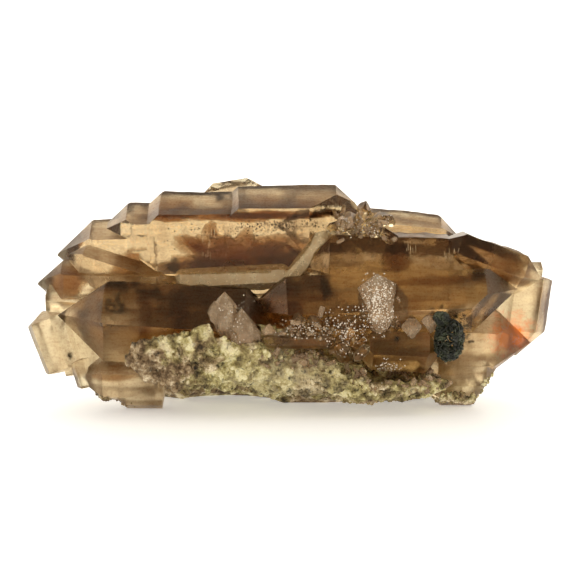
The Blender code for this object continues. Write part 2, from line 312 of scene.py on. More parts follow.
def cut_points(left, right, left_angle, right_angle, length, chance):
    """Cuts both ends of the prism in edit mode with the sloping faces of its points."""
    for sign, backs, angle in ((-1, left, left_angle), (1, right, right_angle)):
        for face, back in enumerate(backs):
            lean = math.radians(angle + chance.uniform(-0.8, 0.8))
            around = math.radians(60 * face)
            outward = Vector((-math.cos(around), math.sin(around), 0)) * math.sin(lean)
            outward.z = sign * math.cos(lean)
            bpy.ops.mesh.select_all(action="SELECT")
            bpy.ops.mesh.bisect(
                plane_co=(0, 0, sign * (length / 2 - back)),
                plane_no=outward,
                use_fill=True,
                clear_outer=True,
                threshold=FINEST,
            )


def grow_crystal(
    name, number, start, end, depth, height, roll, left, right, left_angle, right_angle, knobbly
):
    """A prism from tip to tip: depth is across its front and back faces, and height is between its ridges."""
    chance = random.Random(number)
    axis = (end - start).normalized()
    length = (end - start).length
    radius = depth / 2 / math.cos(math.radians(30))
    small = depth < 0.0034
    spacing = STEP_SPACING / 2 if knobbly else STEP_SPACING
    bpy.ops.object.select_all(action="DESELECT")
    bpy.ops.mesh.primitive_cylinder_add(vertices=6, radius=radius, depth=length + 4 * radius)
    piece = bpy.context.object
    piece.name = name
    for vertex in piece.data.vertices:
        on_ridge = abs(vertex.co.x) < FINEST
        vertex.co.y = math.copysign(height / 2 if on_ridge else height / 2 - radius / 2, vertex.co.y)
    bpy.ops.object.mode_set(mode="EDIT")
    if not small:
        select_edges(piece, lambda a, b: abs(a.z - b.z) > radius)
        bpy.ops.mesh.subdivide(number_cuts=int((length + 4 * radius) / spacing))
        select_edges(piece, lambda a, b: abs(a.z - b.z) < FINEST)
        bpy.ops.mesh.subdivide(number_cuts=max(2, int(radius / spacing / 1.5)))
        bpy.ops.object.mode_set(mode="OBJECT")
        growth_steps(piece, number, STEP_DEPTH * min(1, depth / 0.012), knobbly)
        bpy.ops.object.mode_set(mode="EDIT")
    cut_points(left, right, left_angle, right_angle, length, chance)
    bpy.ops.mesh.select_all(action="SELECT")
    bpy.ops.mesh.remove_doubles(threshold=1e-5)
    bpy.ops.mesh.select_all(action="DESELECT")
    bpy.ops.mesh.edges_select_sharp(sharpness=math.radians(20))
    worn = WORN_EDGE * (0.4 if small else 1)
    bpy.ops.mesh.bevel(offset=worn, segments=1, affect="EDGES", clamp_overlap=True)
    bpy.ops.mesh.select_all(action="SELECT")
    bpy.ops.mesh.normals_make_consistent(inside=False)
    bpy.ops.object.mode_set(mode="OBJECT")
    level = Vector((0, 1, 0)) if abs(axis.y) < 0.8 else Vector((1, 0, 0))
    back_way = (level - axis * level.dot(axis)).normalized()
    turn = Matrix((back_way, axis.cross(back_way), axis)).transposed().to_4x4()
    middle = Matrix.Translation((start + end) / 2 + TO_FRAME)
    piece.matrix_world = middle @ turn @ Matrix.Rotation(math.radians(roll), 4, "Z")
    apply_place(piece)
    return piece


def floor_block():
    """A block under the surface that the piece rests on, to cut the feet level."""
    bpy.ops.mesh.primitive_cube_add(size=1, location=(0, 0, -FLOOR_BLOCK / 2), scale=(0.3, 0.2, FLOOR_BLOCK))
    return bpy.context.object


def apply_boolean(piece, operation, other):
    """Joins or cuts a piece with another object or with a whole collection."""
    step = piece.modifiers.new(operation, "BOOLEAN")
    step.operation = operation
    step.solver = "MANIFOLD"
    if isinstance(other, bpy.types.Collection):
        step.operand_type = "COLLECTION"
        step.collection = other
    else:
        step.object = other
    select_only(piece)
    bpy.ops.object.modifier_apply(modifier=step.name)


def discard(pieces):
    for piece in list(pieces):
        bpy.data.objects.remove(piece, do_unlink=True)


def joined(name, crystals, material):
    """Crystals grown and joined into one closed solid."""
    grown = [grow_crystal(f"crystal {n}", n, **values) for n, values in enumerate(crystals)]
    quartz, others = grown[0], grown[1:]
    together = bpy.data.collections.new("crystals")
    for piece in others:
        together.objects.link(piece)
    apply_boolean(quartz, "UNION", together)
    block = floor_block()
    apply_boolean(quartz, "DIFFERENCE", block)
    discard([*others, block])
    bpy.data.collections.remove(together)
    quartz.name = name
    quartz.data.materials.clear()
    quartz.data.materials.append(material)
    return quartz


def add(nodes, kind, **settings):
    """A shader node with its settings: a name that is a socket's sets the socket, and any other the node."""
    node = nodes.new("ShaderNode" + kind)
    for name, value in settings.items():
        socket = name.replace("_", " ")
        if socket in node.inputs:
            node.inputs[socket].default_value = value
        else:
            setattr(node, name, value)
    return node


def new_material(name):
    material = bpy.data.materials.new(name)
    material.use_nodes = True
    tree = material.node_tree
    return material, tree.nodes, tree.links, tree.nodes["Principled BSDF"]


def band(nodes, links, source, low, high, share):
    """A socket that rises from 0 to a share while the source goes from low to high."""
    step = add(nodes, "MapRange", From_Min=low, From_Max=high, To_Min=0.0, To_Max=share)
    links.new(source, step.inputs["Value"])
    return step.outputs["Result"]


def total(nodes, links, sockets):
    """The sum of several sockets."""
    result = sockets[0]
    for socket in sockets[1:]:
        plus = add(nodes, "Math", operation="ADD")
        links.new(result, plus.inputs[0])
        links.new(socket, plus.inputs[1])
        result = plus.outputs["Value"]
    return result


def spot(nodes, links, place, centre, size, ragged):
    """A socket that is 1 inside a ragged patch round a place in the frame, and 0 outside."""
    shift = add(nodes, "Mapping", vector_type="POINT", Location=[-c / s for c, s in zip(centre, size)])
    shift.inputs["Scale"].default_value = [1 / side for side in size]
    rough = add(nodes, "TexNoise", Scale=ragged, Detail=5.0, Roughness=0.65)
    length = add(nodes, "VectorMath", operation="LENGTH")
    links.new(place, shift.inputs["Vector"])
    links.new(shift.outputs["Vector"], length.inputs[0])
    links.new(place, rough.inputs["Vector"])
    uneven = add(nodes, "Math", operation="MULTIPLY_ADD")
    uneven.inputs[1].default_value = 2.4
    links.new(rough.outputs["Fac"], uneven.inputs[0])
    links.new(length.outputs["Value"], uneven.inputs[2])
    edge = add(nodes, "MapRange", From_Min=2.5, From_Max=1.7, To_Min=0.0, To_Max=1.0)
    links.new(uneven.outputs["Value"], edge.inputs["Value"])
    return edge.outputs["Result"]


def streaks(nodes, links, at, stretch, scale, share):
    """A socket with fine grain, drawn out along the axes where the stretch is small, from 0 to a share."""
    drawn_out = add(nodes, "Mapping", Scale=stretch)
    grain = add(nodes, "TexNoise", Scale=scale, Detail=4.0, Roughness=0.6)
    links.new(at, drawn_out.inputs["Vector"])
    links.new(drawn_out.outputs["Vector"], grain.inputs["Vector"])
    return band(nodes, links, grain.outputs["Fac"], 0.45, 0.72, share)


def clear_quartz():
    """Clear smoky quartz: brown by absorption, with frosted places, brown streaks, fine growth lines, and
    painted shade that darkens the faces that look upwards.
    """
    material, nodes, links, surface = new_material("smoky quartz")
    surface.inputs["Transmission Weight"].default_value = 1
    surface.inputs["IOR"].default_value = 1.544
    surface.inputs["Specular IOR Level"].default_value = 0.2
    surface.inputs["Specular Tint"].default_value = (1.0, 0.66, 0.42, 1)
    place = add(nodes, "TexCoord")
    at = place.outputs["Object"]
    facing = add(nodes, "SeparateXYZ")
    where = add(nodes, "SeparateXYZ")
    frost = add(nodes, "TexNoise", Scale=110.0, Detail=6.0, Roughness=0.6)
    links.new(place.outputs["Normal"], facing.inputs["Vector"])
    links.new(at, where.inputs["Vector"])
    links.new(at, frost.inputs["Vector"])
    x, z = where.outputs["X"], where.outputs["Z"]
    frosted_patch = spot(nodes, links, at, (-0.046, -0.012, 0.016), (0.015, 0.02, 0.005), 150.0)
    frosting = total(
        nodes,
        links,
        [
            band(nodes, links, frost.outputs["Fac"], 0.40, 0.62, 0.12),
            band(nodes, links, facing.outputs["Z"], 0.30, 0.75, 0.22),
            band(nodes, links, x, -0.046, -0.056, 0.10),
            band(nodes, links, x, 0.046, 0.056, 0.14),
            band(nodes, links, z, 0.022, 0.014, 0.10),
            band(nodes, links, z, 0.040, 0.032, 0.10),
            band(nodes, links, frosted_patch, 0, 1, 0.2),
        ],
    )
    even = add(nodes, "Math", operation="ADD", use_clamp=True)
    even.inputs[1].default_value = 0.10
    links.new(frosting, even.inputs[0])
    links.new(even.outputs["Value"], surface.inputs["Roughness"])

    stain = spot(nodes, links, at, (0.0535, -0.012, 0.0178), (0.0054, 0.014, 0.0045), 330.0)
    brown_end = spot(nodes, links, at, (0.0637, -0.004, 0.0245), (0.0030, 0.02, 0.0064), 260.0)
    streaks_and_painted_shade = [
        streaks(nodes, links, at, (0.14, 1.0, 1.0), 1300.0, 0.5),
        streaks(nodes, links, at, (1.0, 0.12, 0.12), 330.0, 0.25),
        streaks(nodes, links, at, (1.0, 1.0, 1.0), 2100.0, 0.5),
        # Painted shade: the faces that look upwards are darkened in colour.
        band(nodes, links, facing.outputs["Z"], 0.25, 0.70, 0.50),
        band(nodes, links, brown_end, 0, 1, 0.8),
    ]
    tint = add(nodes, "Mix", data_type="RGBA")
    tint.inputs[6].default_value = (1, 0.925, 0.68, 1)
    tint.inputs[7].default_value = (0.42, 0.28, 0.16, 1)
    links.new(total(nodes, links, streaks_and_painted_shade), tint.inputs[0])
    colour = add(nodes, "Mix", data_type="RGBA")
    colour.inputs[7].default_value = (1.0, 0.20, 0.02, 1)
    links.new(stain, colour.inputs[0])
    links.new(tint.outputs[2], colour.inputs[6])
    links.new(colour.outputs[2], surface.inputs["Base Color"])

    across = add(nodes, "Mapping", Scale=(1.0, 0.05, 0.05))
    lines = add(nodes, "TexNoise", Scale=800.0, Detail=3.0)
    pits = add(nodes, "TexNoise", Scale=320.0, Detail=3.0, Roughness=0.5)
    line_bump = add(nodes, "Bump", Strength=0.3, Distance=0.00015)
    pit_bump = add(nodes, "Bump", Strength=0.35, Distance=0.0005)
    links.new(at, across.inputs["Vector"])
    links.new(across.outputs["Vector"], lines.inputs["Vector"])
    links.new(at, pits.inputs["Vector"])
    links.new(lines.outputs["Fac"], line_bump.inputs["Height"])
    links.new(pits.outputs["Fac"], pit_bump.inputs["Height"])
    links.new(line_bump.outputs["Normal"], pit_bump.inputs["Normal"])
    links.new(pit_bump.outputs["Normal"], surface.inputs["Normal"])
    smoke = add(nodes, "VolumeAbsorption", Color=(0.64, 0.475, 0.26, 1), Density=86.0)
    links.new(smoke.outputs["Volume"], nodes["Material Output"].inputs["Volume"])
    return material


def milky_quartz(name, dull, bright, clearness):
    """Cloudy quartz, only partly clear, between two tones."""
    material, nodes, links, surface = new_material(name)
    surface.inputs["Specular Tint"].default_value = (1.0, 0.75, 0.55, 1)
    place = add(nodes, "TexCoord")
    cloud = add(nodes, "TexNoise", Scale=380.0, Detail=6.0, Roughness=0.65)
    fine = add(nodes, "TexNoise", Scale=1500.0, Detail=3.0)
    tone = add(nodes, "Mix", data_type="RGBA")
    tone.inputs[6].default_value = dull
    tone.inputs[7].default_value = bright
    bump = add(nodes, "Bump", Strength=0.5, Distance=0.0003)
    links.new(place.outputs["Object"], cloud.inputs["Vector"])
    links.new(place.outputs["Object"], fine.inputs["Vector"])
    links.new(band(nodes, links, cloud.outputs["Fac"], 0.35, 0.65, 1.0), tone.inputs[0])
    links.new(tone.outputs[2], surface.inputs["Base Color"])
    links.new(band(nodes, links, cloud.outputs["Fac"], 0.2, 0.8, 0.45), surface.inputs["Roughness"])
    links.new(fine.outputs["Fac"], bump.inputs["Height"])
    links.new(bump.outputs["Normal"], surface.inputs["Normal"])
    surface.inputs["Transmission Weight"].default_value = clearness
    surface.inputs["IOR"].default_value = 1.544
    return material


def deeper_smoke_and_painted_shade(name, density):
    """The browner zones inside the crystals, and the strips of painted shade among them: only absorption,
    with no surface of their own to be seen.
    """
    material, nodes, links, surface = new_material(name)
    surface.inputs["Transmission Weight"].default_value = 1
    surface.inputs["IOR"].default_value = 1
    surface.inputs["Roughness"].default_value = 0
    smoke = add(nodes, "VolumeAbsorption", Color=(0.67, 0.465, 0.22, 1), Density=density)
    links.new(smoke.outputs["Volume"], nodes["Material Output"].inputs["Volume"])
    return material


def flaky_chlorite():
    """Green-black chlorite, with a greener tint in places and a dull shine on its flakes."""
    material, nodes, links, surface = new_material("chlorite")
    place = add(nodes, "TexCoord")
    mottle = add(nodes, "TexNoise", Scale=600.0, Detail=5.0)
    tone = add(nodes, "Mix", data_type="RGBA")
    tone.inputs[6].default_value = (0.012, 0.015, 0.010, 1)
    tone.inputs[7].default_value = (0.10, 0.12, 0.065, 1)
    links.new(place.outputs["Object"], mottle.inputs["Vector"])
    links.new(band(nodes, links, mottle.outputs["Fac"], 0.45, 0.8, 1.0), tone.inputs[0])
    links.new(tone.outputs[2], surface.inputs["Base Color"])
    links.new(band(nodes, links, mottle.outputs["Fac"], 0.8, 0.2, 0.6), surface.inputs["Roughness"])
    return material


def ramp(nodes, stops):
    """A colour ramp from its stops, each a place and a colour."""
    node = add(nodes, "ValToRGB")
    elements = node.color_ramp.elements
    for place, colour in stops:
        elements.new(place).color = colour
    elements.remove(elements[0])
    elements.remove(elements[-1])
    return node


def rock_skin():
    """Greenish cream crust with darker, browner and whiter patches, fine grain, and pits darkened with
    painted shade.
    """
    material, nodes, links, surface = new_material("matrix rock")
    place = add(nodes, "TexCoord")
    patches = add(nodes, "TexNoise", Scale=330.0, Detail=5.0, Roughness=0.65)
    zones = add(nodes, "TexNoise", Scale=120.0, Detail=3.0, Roughness=0.6)
    where = add(nodes, "SeparateXYZ")
    at = place.outputs["Object"]
    links.new(at, where.inputs["Vector"])
    links.new(at, zones.inputs["Vector"])
    green = ramp(
        nodes,
        (
            (0.34, (0.10, 0.075, 0.032, 1)),
            (0.44, (0.34, 0.28, 0.12, 1)),
            (0.52, (0.60, 0.53, 0.24, 1)),
            (0.60, (0.94, 0.88, 0.56, 1)),
        ),
    )
    brown = ramp(
        nodes,
        (
            (0.34, (0.05, 0.030, 0.014, 1)),
            (0.45, (0.22, 0.145, 0.075, 1)),
            (0.54, (0.46, 0.34, 0.20, 1)),
            (0.63, (0.92, 0.80, 0.58, 1)),
        ),
    )
    browner = total(
        nodes,
        links,
        [
            band(nodes, links, zones.outputs["Fac"], 0.49, 0.59, 0.8),
            band(nodes, links, where.outputs["X"], -0.024, -0.036, 0.5),
            band(nodes, links, where.outputs["Z"], 0.0040, 0.0015, 0.4),
            spot(nodes, links, at, (-0.0310, -0.016, 0.0085), (0.0100, 0.02, 0.0040), 200.0),
        ],
    )
    colours = add(nodes, "Mix", data_type="RGBA")
    links.new(browner, colours.inputs[0])
    links.new(green.outputs["Color"], colours.inputs[6])
    links.new(brown.outputs["Color"], colours.inputs[7])
    pale_patch = spot(nodes, links, at, (0.0000, -0.016, 0.0090), (0.0130, 0.02, 0.0050), 200.0)
    paler = add(nodes, "Mix", data_type="RGBA")
    paler.inputs[7].default_value = (0.86, 0.76, 0.50, 1)
    links.new(band(nodes, links, pale_patch, 0, 1, 0.4), paler.inputs[0])
    links.new(colours.outputs[2], paler.inputs[6])
    grain = add(nodes, "TexVoronoi", Scale=900.0)
    pits = add(nodes, "TexNoise", Scale=420.0, Detail=5.0, Roughness=0.7)
    # Painted shade: the low places of the pits are darkened in colour.
    painted_pit_shade = add(nodes, "MapRange", From_Min=0.34, From_Max=0.46, To_Min=0.16, To_Max=1.0)
    shade = add(nodes, "Mix", data_type="RGBA", blend_type="MULTIPLY")
    shade.inputs[0].default_value = 1
    grain_bump = add(nodes, "Bump", Strength=0.6, Distance=0.0004)
    pit_bump = add(nodes, "Bump", Strength=0.8, Distance=0.0010)
    for target in (patches, grain, pits):
        links.new(at, target.inputs["Vector"])
    links.new(patches.outputs["Fac"], green.inputs["Fac"])
    links.new(patches.outputs["Fac"], brown.inputs["Fac"])
    links.new(pits.outputs["Fac"], painted_pit_shade.inputs["Value"])
    links.new(paler.outputs[2], shade.inputs[6])
    links.new(painted_pit_shade.outputs["Result"], shade.inputs[7])
    links.new(shade.outputs[2], surface.inputs["Base Color"])
    links.new(grain.outputs["Distance"], grain_bump.inputs["Height"])
    links.new(pits.outputs["Fac"], pit_bump.inputs["Height"])
    links.new(grain_bump.outputs["Normal"], pit_bump.inputs["Normal"])
    links.new(pit_bump.outputs["Normal"], surface.inputs["Normal"])
    surface.inputs["Roughness"].default_value = 0.85
    return material


def rough_rock(skin):
    """The rock, remeshed finely from its solid, with lumps and grain, and lower at the front right."""
    lump_spacing, lump_height = 0.0045, 0.0009
    grain_spacing, grain_height = 0.0021, 0.0019
    most_lowered = 0.32
    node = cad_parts["matrix"]
    rock = node.copy()
    rock.data = node.data.copy()
    rock.parent = None
    rock.name = "rock_crust"
    bpy.context.scene.collection.objects.link(rock)
    rock.hide_render = False
    apply_place(rock)
    bpy.ops.object.mode_set(mode="EDIT")
    bpy.ops.mesh.select_all(action="SELECT")
    bpy.ops.mesh.remove_doubles(threshold=1e-5)
    bpy.ops.object.mode_set(mode="OBJECT")
    rock.data.remesh_voxel_size = 0.00055
    bpy.ops.object.voxel_remesh()
    outwards = [vertex.normal.copy() for vertex in rock.data.vertices]
    for vertex, outward in zip(rock.data.vertices, outwards):
        place = vertex.co
        lumps = noise.fractal(place / lump_spacing, 0.8, 2.0, 3) * lump_height
        grain = (0.45 - noise.voronoi(place / grain_spacing)[0][0]) * grain_height
        lower = most_lowered * rise(place.x, 0.004, 0.018) * rise(-place.y, 0.006, 0.012)
        vertex.co = place + outward * (lumps + grain) * rise(place.z, 0, 0.002)
        vertex.co.z *= 1 - lower
        vertex.co.y = max(cad_box[0][1], min(cad_box[1][1], vertex.co.y))
    rock.data.materials.clear()
    rock.data.materials.append(skin)
    return rock


def seed_crystal():
    """A little six-sided crystal with one point, 1 across its faces and 2 long, as points and faces."""
    bpy.ops.object.select_all(action="DESELECT")
    bpy.ops.mesh.primitive_cylinder_add(vertices=6, radius=0.577, depth=2, end_fill_type="NGON")
    piece = bpy.context.object
    bpy.ops.object.mode_set(mode="EDIT")
    bpy.ops.mesh.select_mode(type="FACE")
    bpy.ops.mesh.select_all(action="DESELECT")
    bpy.ops.object.mode_set(mode="OBJECT")
    for face in piece.data.polygons:
        face.select = face.normal.z > 0.9
    bpy.ops.object.mode_set(mode="EDIT")
    bpy.ops.mesh.extrude_region_move(TRANSFORM_OT_translate={"value": (0.03, 0.02, 0.62)})
    bpy.ops.transform.resize(value=(0.16, 0.10, 1))
    bpy.ops.object.mode_set(mode="OBJECT")
    return piece


def seed_lump(finer):
    """A knobbly grain, about 1 across."""
    bpy.ops.object.select_all(action="DESELECT")
    bpy.ops.mesh.primitive_ico_sphere_add(subdivisions=finer, radius=0.5)
    piece = bpy.context.object
    for vertex in piece.data.vertices:
        vertex.co *= 1 + 0.45 * noise.noise(vertex.co * 2.3)
    return piece


def seed_flake():
    """A six-sided flake, 1 across."""
    bpy.ops.object.select_all(action="DESELECT")
    bpy.ops.mesh.primitive_cylinder_add(vertices=6, radius=0.5, depth=0.16)
    piece = bpy.context.object
    bpy.ops.object.mode_set(mode="EDIT")
    bpy.ops.mesh.select_all(action="SELECT")
    bpy.ops.mesh.bevel(offset=0.05, segments=1, affect="EDGES")
    bpy.ops.object.mode_set(mode="OBJECT")
    return piece


def sow(name, seed_piece, places, material):
    """One mesh with a copy of the seed at each place, which is a matrix."""
    points, faces = [], []
    corners = [vertex.co.copy() for vertex in seed_piece.data.vertices]
    sides = [tuple(face.vertices) for face in seed_piece.data.polygons]
    for place in places:
        first = len(points)
        points.extend(place @ corner for corner in corners)
        faces.extend(tuple(first + corner for corner in side) for side in sides)
    bpy.data.objects.remove(seed_piece, do_unlink=True)
    mesh = bpy.data.meshes.new(name)
    mesh.from_pydata(points, [], faces)
    mesh.materials.append(material)
    piece = bpy.data.objects.new(name, mesh)
    bpy.context.scene.collection.objects.link(piece)
    return piece


def from_front(piece, x, z):
    """The place on a piece that is seen from the front at this x and z, and its normal there."""
    found, place, normal, _ = piece.ray_cast(Vector((x, -0.06, z)), Vector((0, 1, 0)))
    return (place, normal) if found else None


def patch_places(carriers, on, patches, size, stand, sink, seed):
    """Places at random in patches of the front, each leaning out of the carrier that is seen there.

    A patch is a middle x and z, a half width, a half height and a count. Nothing is placed where what is seen
    from the front isn't one of the carriers in on, nor close to the floor.
    """
    chance = random.Random(seed)
    places = []
    for middle_x, middle_z, half_width, half_height, count in patches:
        for _ in range(count):
            x = middle_x + half_width * max(-1, min(1, chance.gauss(0, 0.5)))
            z = middle_z + half_height * max(-1, min(1, chance.gauss(0, 0.5)))
            hits = [(from_front(carrier, x, z), carrier in on) for carrier in carriers]
            hits = [(*hit, wanted) for hit, wanted in hits if hit]
            lean = Vector((chance.uniform(-1, 1), chance.uniform(-1, 1), chance.uniform(-1, 1)))
            across = size * chance.uniform(0.5, 1.4)
            turn = chance.uniform(0, math.pi)
            if not hits:
                continue
            place, normal, wanted = min(hits, key=lambda hit: hit[0].y)
            if not wanted or place.z < across:
                continue
            place.y = max(place.y, cad_box[0][1] + across / 2)
            way = (normal * stand + lean).normalized()
            spin = way.to_track_quat("Z", "Y").to_matrix().to_4x4()
            middle = Matrix.Translation(place - way * across * sink)
            places.append(middle @ spin @ Matrix.Rotation(turn, 4, "Z") @ Matrix.Scale(across, 4))
    return places


def depth_under(piece, place):
    """How deep a place lies under a piece's surface. Outside the piece it is negative."""
    _, nearest, normal, _ = piece.closest_point_on_mesh(place)
    return (nearest - place).dot(normal)


def smoke_zone(middle, size, tilt, seed, finer=4):
    """A lumpy dark zone inside the crystals, used both for browner smoke and for strips of painted shade: its
    middle, three half sizes and tilt in the plane of the front.
    """
    broad, knobs, unevenness = 0.006, 0.0028, 0.45
    bpy.ops.object.select_all(action="DESELECT")
    bpy.ops.mesh.primitive_ico_sphere_add(subdivisions=finer, radius=1)
    piece = bpy.context.object
    turn = Matrix.Rotation(-math.radians(tilt), 4, "Y")
    shift = Vector((seed * 3.7, 0, 0))
    for vertex in piece.data.vertices:
        place = Vector(side * half for side, half in zip(vertex.co, size))
        uneven = 1 + unevenness * noise.fractal(place / broad + shift, 0.7, 2.0, 6)
        uneven += unevenness * (0.5 - noise.voronoi(place / knobs + shift)[0][0])
        vertex.co = turn @ (place * uneven) + Vector(middle)
    return piece


def keep_inside(zones, quartz):
    """Pulls what sticks out of the crystals back to just under their surface."""
    for vertex in zones.data.vertices:
        _, nearest, normal, _ = quartz.closest_point_on_mesh(vertex.co)
        if (nearest - vertex.co).dot(normal) < UNDER_SURFACE:
            vertex.co = nearest - normal * UNDER_SURFACE


def smoke(name, zones, quartz, material):
    """Zones of smoke and strips of painted shade inside the crystals, joined into one piece."""
    bpy.ops.object.select_all(action="DESELECT")
    for zone in zones:
        zone.select_set(True)
    bpy.context.view_layer.objects.active = zones[0]
    bpy.ops.object.join()
    piece = bpy.context.object
    piece.name = name
    apply_place(piece)
    keep_inside(piece, quartz)
    piece.data.materials.append(material)
    return piece


def dark_zones(quartz, material):
    """The darkest zones: a cloud of smoke in the long top crystal, a dark strip in it that paints the shade
    under its upper face, and smoke at the right end.
    """
    zones = [
        smoke_zone((-0.0145, 0.0030, 0.0352), (0.0155, 0.0050, 0.0066), 0, 1, 5),
        # Painted shade: these two thin dark strips stand for the shade under the long top crystal's upper
        # face.
        smoke_zone((-0.0135, -0.0030, 0.0463), (0.0148, 0.0030, 0.0011), 0, 13),
        smoke_zone((-0.0315, -0.0030, 0.0461), (0.0064, 0.0030, 0.0011), 0, 14),
        smoke_zone((0.0622, -0.0030, 0.0240), (0.0013, 0.0036, 0.0046), 0, 17),
        smoke_zone((-0.0204, -0.0040, 0.0432), (0.0022, 0.0018, 0.0026), 0, 5),
        smoke_zone((0.0020, -0.0226, 0.0178), (0.0085, 0.0009, 0.0011), 0, 23, 3),
    ]
    return smoke("deepest_smoke_and_painted_shade", zones, quartz, material)


def brown_zones(quartz, material):
    """The other browner zones of smoke, kept well inside the crystals, thin streaks along the front, and two
    more strips of painted shade under the long top crystal's upper face.
    """
    zones = [
        smoke_zone((-0.0010, -0.0100, 0.0250), (0.0040, 0.0035, 0.0050), 0, 15),
        smoke_zone((-0.0525, 0.0010, 0.0392), (0.0052, 0.0040, 0.0011), 42, 24),
        smoke_zone((0.0440, -0.0060, 0.0385), (0.0080, 0.0030, 0.0022), -12, 25),
        smoke_zone((0.0320, 0.0100, 0.0420), (0.0110, 0.0010, 0.0024), -6, 16),
        smoke_zone((-0.0430, -0.0100, 0.0085), (0.0060, 0.0026, 0.0016), 0, 18),
        smoke_zone((0.0010, 0.0030, 0.0375), (0.0098, 0.0026, 0.0045), 4, 2, 5),
        # Painted shade: two more thin dark strips under the long top crystal's upper face.
        smoke_zone((-0.0290, 0.0010, 0.0466), (0.0062, 0.0050, 0.0009), 0, 3),
        smoke_zone((-0.0050, 0.0010, 0.0466), (0.0130, 0.0050, 0.0010), 0, 4),
        smoke_zone((-0.0395, 0.0020, 0.0345), (0.0046, 0.0030, 0.0034), 20, 6),
        smoke_zone((-0.0270, -0.0120, 0.0215), (0.0018, 0.0022, 0.0058), 0, 7),
        smoke_zone((-0.0355, -0.0125, 0.0225), (0.0018, 0.0016, 0.0046), 4, 21),
        smoke_zone((-0.0100, -0.0120, 0.0215), (0.0025, 0.0030, 0.0050), 10, 8),
        smoke_zone((0.0400, -0.0100, 0.0300), (0.0130, 0.0025, 0.0012), 2, 9),
        smoke_zone((0.0250, -0.0020, 0.0340), (0.0040, 0.0030, 0.0040), 8, 10),
        smoke_zone((0.0490, -0.0070, 0.0358), (0.0095, 0.0034, 0.0034), -22, 11),
        smoke_zone((-0.0555, -0.0030, 0.0295), (0.0042, 0.0038, 0.0038), 0, 12),
    ]
    chance = random.Random(41)
    for number in range(16):
        middle = (chance.uniform(-0.045, 0.045), chance.uniform(-0.014, -0.007), chance.uniform(0.017, 0.029))
        long, thin = chance.uniform(0.004, 0.010), chance.uniform(0.0003, 0.0008)
        zones.append(smoke_zone(middle, (long, 0.0018, thin), chance.uniform(-6, 6), 20 + number, 3))
    return smoke("deeper_smoke_and_painted_shade", zones, quartz, material)


def scattered(boxes, seed):
    """Places at random in boxes, each with its low and high corner, its count and the size of its flakes."""
    chance = random.Random(seed)
    places = []
    for low, high, count, size in boxes:
        for _ in range(count):
            shares = [(chance.random() + chance.random()) / 2 for _ in low]
            middle = Vector(a + (b - a) * share for a, b, share in zip(low, high, shares))
            lean = Vector((chance.uniform(-1, 1), chance.uniform(-1, 1), chance.uniform(-1, 1)))
            spin = lean.to_track_quat("Z", "Y").to_matrix().to_4x4()
            across = size * chance.uniform(0.4, 1.5)
            places.append(Matrix.Translation(middle) @ spin @ Matrix.Scale(across, 4))
    return places


def dark_flecks(carriers, material):
    """Dark flecks sealed in the clear crystals, and the black spots at the left end and on the dark block."""
    boxes = (
        ((-0.0340, -0.0060, 0.0370), (0.0080, 0.0040, 0.0460), 330, 0.00032),
        ((-0.0140, -0.0050, 0.0425), (0.0080, 0.0020, 0.0455), 260, 0.00036),
        ((-0.0455, -0.0165, 0.0205), (-0.0395, -0.0130, 0.0275), 110, 0.00080),
        ((0.0020, -0.0060, 0.0300), (0.0450, 0.0020, 0.0400), 160, 0.00032),
        ((-0.0450, -0.0140, 0.0160), (0.0500, -0.0060, 0.0280), 200, 0.00030),
        ((0.0245, -0.0200, 0.0170), (0.0257, -0.0185, 0.0188), 26, 0.00080),
        ((-0.0552, -0.0120, 0.0118), (-0.0538, -0.0095, 0.0132), 22, 0.00070),
        ((0.0345, -0.0175, 0.0130), (0.0450, -0.0150, 0.0270), 60, 0.00080),
    )
    places = []
    for place in scattered(boxes, 51):
        middle = place.to_translation()
        if max(depth_under(carrier, middle) for carrier in carriers) > -UNDER_SURFACE:
            places.append(place)
    return sow("dark_flecks", seed_flake(), places, material)


def growth_lines_painted_glints(carriers, material):
    """Thin growth lines that stand across the faces of the large crystals, painted bright as glints of light.

    A patch is a middle x and z, a half width, a half height, a count and the height of its lines.
    """
    width, thickness, flake_heights = 0.00009, 0.00006, 6
    patches = (
        (0.0282, 0.0390, 0.0005, 0.0006, 2, 0.0030),
        (0.0290, 0.0396, 0.0012, 0.0010, 4, 0.0018),
        (0.0385, 0.0378, 0.0022, 0.0010, 8, 0.0016),
        (-0.0205, 0.0400, 0.0018, 0.0035, 14, 0.0018),
    )
    chance = random.Random(52)
    places = []
    for middle_x, middle_z, half_width, half_height, count, tall in patches:
        for _ in range(count):
            x = middle_x + half_width * chance.uniform(-1, 1)
            z = middle_z + half_height * chance.uniform(-1, 1)
            hits = [from_front(carrier, x, z) for carrier in carriers]
            place, normal = min((hit for hit in hits if hit), key=lambda hit: hit[0].y)
            upwards = Vector((0, 0, 1)) - normal * normal.z
            spin = upwards.to_track_quat("Z", "Y").to_matrix().to_4x4()
            height = flake_heights * tall * chance.uniform(0.4, 1.2)
            size = Matrix.Diagonal((width, thickness, height, 1))
            places.append(Matrix.Translation(place) @ spin @ size)
    return sow("growth_lines_painted_as_glints", seed_flake(), places, material)


def dress(piece, slot, *nodes):
    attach(piece, "root")
    if nodes:
        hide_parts(*nodes)


def white_druse(carriers, material):
    """The sugar-like patches of very small crystals on the front."""
    patches = (
        (0.0205, 0.0272, 0.0036, 0.0062, 420),
        (0.0175, 0.0445, 0.0060, 0.0030, 90),
        (0.0222, 0.0225, 0.0026, 0.0040, 60),
        (0.0035, 0.0206, 0.0075, 0.0020, 170),
        (0.0130, 0.0200, 0.0050, 0.0058, 230),
        (0.0235, 0.0105, 0.0035, 0.0030, 90),
        (-0.0130, 0.0240, 0.0040, 0.0060, 50),
    )
    size, stand, sink = 0.00032, 0.9, 0.2
    places = patch_places(carriers, carriers, patches, size, stand, sink, 21)
    return sow("white_druse", seed_lump(1), places, material)


